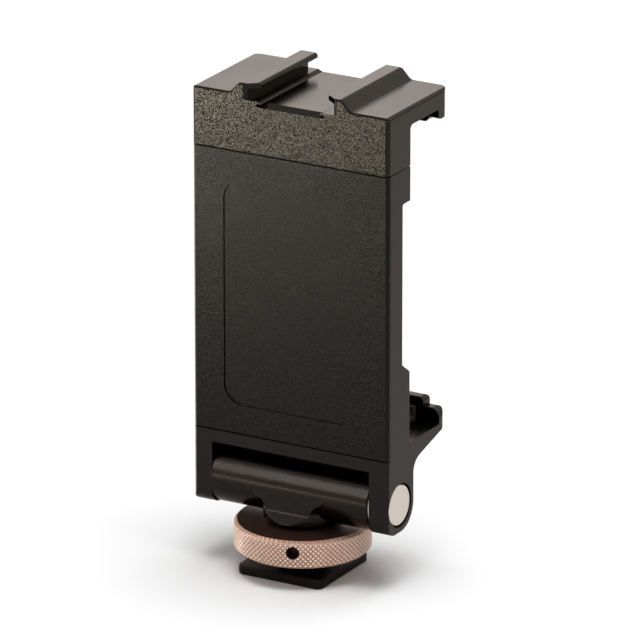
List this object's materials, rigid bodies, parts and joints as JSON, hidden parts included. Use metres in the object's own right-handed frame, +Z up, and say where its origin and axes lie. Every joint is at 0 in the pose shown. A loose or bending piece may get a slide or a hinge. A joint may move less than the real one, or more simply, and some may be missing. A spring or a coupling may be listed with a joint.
{
  "type": "tripod phone mount adapter",
  "caption": "Slim spring-loaded phone clamp with an accessory-shoe receiver on its head and a tilting accessory-shoe foot with a knurled lock ring below.",
  "frame": {"origin": "mouth of the tripod thread, at the centre of the shoe foot's underside", "axes": "+Z up through foot, hinge and head; +Y from the front cover towards the phone; X along the hinge pin"},
  "size_m": [0.0426, 0.0318, 0.097],
  "materials": {
    "body_grey": "satin grey anodise over milled aluminium",
    "cover_grey": "fine satin olive-grey anodise",
    "head_grey": "bead-blasted grey anodise",
    "hinge_black": "satin black anodise on a turned barrel",
    "foot_black": "satin black anodise",
    "hub_plum": "satin dark brown anodise",
    "ring_champagne": "champagne anodise on a diamond knurl",
    "pin_steel": "ground steel end faces",
    "rod_steel": "ground and hard-chromed",
    "spring_steel": "drawn spring wire",
    "bush_bronze": "plain sintered bronze",
    "shim_nylon": "natural nylon",
    "washer_nylon": "black nylon",
    "pad_rubber": "matt black rubber"
  },
  "bodies": {
    "base": {"shoe_foot": "foot_black", "tilt_base": "hinge_black"},
    "ring_carrier": {"pressure_washer": "washer_nylon"},
    "ring": {"lock_ring": "ring_champagne", "ring_hub": "hub_plum"},
    "clamp_body": {"lower_body": "body_grey", "front_cover": "cover_grey", "back_pad": "pad_rubber", "lower_jaw_pad": "pad_rubber", "hinge_pin": "pin_steel", "friction_shim_left": "shim_nylon", "friction_shim_right": "shim_nylon", "guide_bush_left": "bush_bronze", "guide_bush_right": "bush_bronze", "clamp_spring_left": "spring_steel", "clamp_spring_right": "spring_steel"},
    "jaw": {"upper_jaw": "head_grey", "upper_jaw_pad": "pad_rubber", "guide_rod_left": "rod_steel", "guide_rod_right": "rod_steel"}
  },
  "joints": [
    {"name": "tilt_hinge", "type": "hinge", "parent": "base", "child": "clamp_body", "pos_m": [0, 0, 0.01654], "axis": [1, 0, 0], "range_deg": [-60, 90]},
    {"name": "jaw_slide", "type": "slide", "parent": "clamp_body", "child": "jaw", "axis": [0, 0, 1], "range_m": [0, 0.025], "stiffness_N_per_m": 1180, "springref_m": -0.007, "deforming": ["clamp_spring_left", "clamp_spring_right"]},
    {"name": "ring_travel", "type": "slide", "parent": "base", "child": "ring_carrier", "axis": [0, 0, -1], "range_m": [0, 0.0019]},
    {"name": "ring_spin", "type": "hinge", "parent": "ring_carrier", "child": "ring", "pos_m": [0, 0, 0.007], "axis": [0, 0, -1], "range_deg": [0, 685]}
  ],
  "couplings": [
    {"joint": "ring_spin", "follows": "ring_travel", "rad_per_m": 6283.2}
  ]
}
